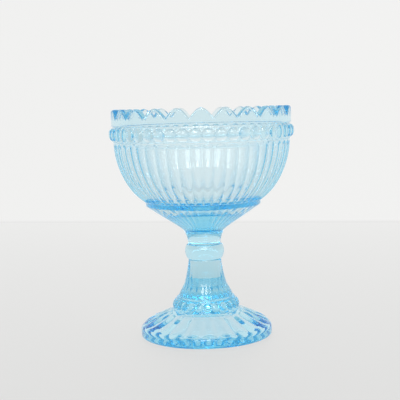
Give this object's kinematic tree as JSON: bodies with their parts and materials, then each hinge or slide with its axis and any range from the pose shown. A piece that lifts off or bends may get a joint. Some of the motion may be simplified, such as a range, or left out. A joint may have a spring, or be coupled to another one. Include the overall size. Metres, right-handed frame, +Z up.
{
  "type": "footed dessert bowl",
  "caption": "Footed glass dessert bowl with a scalloped rim, a band of beads, a fluted wall, a collared stem and a petalled hollow foot.",
  "frame": {"origin": "middle of the flat ring that the foot stands on", "axes": "+Z up along the bowl's axis; -Y is the front, where a scallop of the rim points"},
  "size_m": [0.0966, 0.0966, 0.12],
  "materials": {
    "pale_blue_glass": "fire-polished clear glass with a pale blue tint"
  },
  "bodies": {
    "root": {"bowl": "pale_blue_glass", "knop": "pale_blue_glass", "foot": "pale_blue_glass"}
  },
  "joints": []
}
